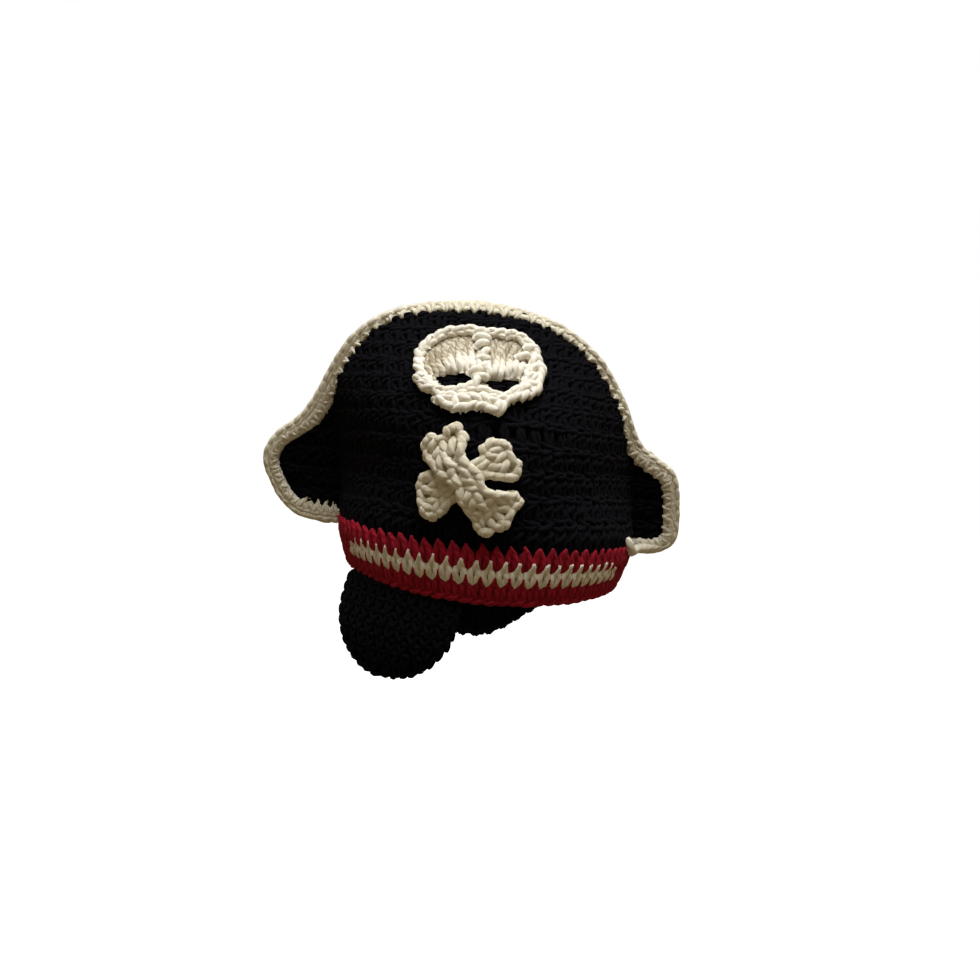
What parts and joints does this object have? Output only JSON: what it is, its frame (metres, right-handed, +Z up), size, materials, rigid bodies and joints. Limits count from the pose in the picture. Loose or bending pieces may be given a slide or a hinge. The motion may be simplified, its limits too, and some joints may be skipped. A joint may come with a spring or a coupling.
{
  "type": "pirate hat",
  "caption": "Crocheted bicorne pirate hat: white-edged black crown with ears, striped head band, sewn-on skull and crossed bones, and a separate eye patch on a strap loop.",
  "frame": {"origin": "centre of the head opening, on the plane of the band's lower rim at the front and back", "axes": "+Z up, the front faces -Y, +X to the right of someone looking at the front"},
  "size_m": [0.2343, 0.2037, 0.1917],
  "materials": {
    "black_yarn": "matte",
    "white_yarn": "matte",
    "red_yarn": "matte"
  },
  "bodies": {
    "hat": {"front_panel": "black_yarn", "back_panel": "black_yarn", "white_edging": "white_yarn", "band_upper_red": "red_yarn", "band_white": "white_yarn", "band_lower_red": "red_yarn", "band_rim": "red_yarn", "skull_face": "white_yarn", "skull_rim": "white_yarn", "skull_stitches": "white_yarn", "bone_over": "white_yarn", "bone_under": "white_yarn", "bone_stitches": "white_yarn"},
    "patch_strap": {"strap": "black_yarn", "strap_seam": "black_yarn"},
    "eye_patch": {"eye_patch": "black_yarn", "patch_rim": "black_yarn"}
  },
  "joints": [
    {"name": "strap_pull_off", "type": "slide", "parent": "hat", "child": "patch_strap", "axis": [0, 0, -1], "range_m": [0, 0.06]},
    {"name": "patch_flip", "type": "hinge", "parent": "patch_strap", "child": "eye_patch", "pos_m": [-0.0417, -0.0742, -0.001], "axis": [-0.7697, 0.6358, 0.058], "range_deg": [0, 70]}
  ]
}
